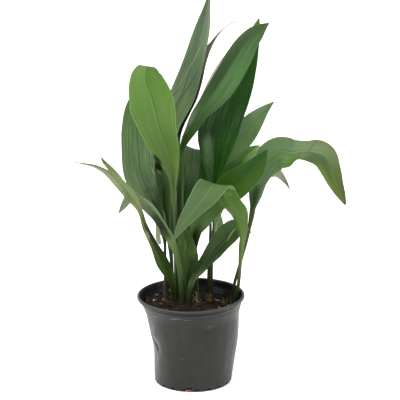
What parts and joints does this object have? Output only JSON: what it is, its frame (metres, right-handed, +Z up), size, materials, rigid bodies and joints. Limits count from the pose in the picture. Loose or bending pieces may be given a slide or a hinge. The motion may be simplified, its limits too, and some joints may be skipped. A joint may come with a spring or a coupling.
{
  "type": "potted plant",
  "caption": "Cast iron plant with long arching strap-like leaves on thin stalks, rising from soil in a round tapered black nursery pot with a rolled rim.",
  "frame": {"origin": "middle of the pot's base, on the surface it stands on", "axes": "+Z up, -Y towards the viewer of the picture, +X to the viewer's right"},
  "size_m": [0.5422, 0.3043, 0.8242],
  "materials": {
    "pot": "satin",
    "soil": "matte",
    "rhizome": "matte",
    "husk": "matte",
    "leaf_bright": "satin",
    "leaf_blue": "satin",
    "leaf_grey": "satin",
    "leaf_deep": "satin",
    "leaf_mid": "satin",
    "leaf_pale": "satin",
    "leaf_olive": "satin",
    "leaf_dark": "satin"
  },
  "bodies": {
    "root": {"pot": "pot", "soil": "soil", "rhizome": "rhizome", "stem_husk": "husk", "leaf_bright_left": "leaf_bright", "leaf_broad_left": "leaf_blue", "leaf_hanging_left": "leaf_pale", "leaf_hanging_back": "leaf_pale", "leaf_tallest": "leaf_grey", "leaf_thread_tip": "leaf_deep", "leaf_upper_right": "leaf_mid", "leaf_bent_centre": "leaf_dark", "leaf_inner_dark": "leaf_deep", "leaf_broad_right": "leaf_deep", "leaf_back_right": "leaf_mid", "leaf_far_right": "leaf_olive", "leaf_drooping_right": "leaf_mid", "leaf_folded_right": "leaf_mid", "leaf_behind_fold": "leaf_mid", "leaf_front_arch": "leaf_mid", "leaf_pale_left": "leaf_pale", "leaf_low_right": "leaf_dark", "leaf_young_centre": "leaf_dark", "leaf_slender_left": "leaf_olive"}
  },
  "joints": []
}
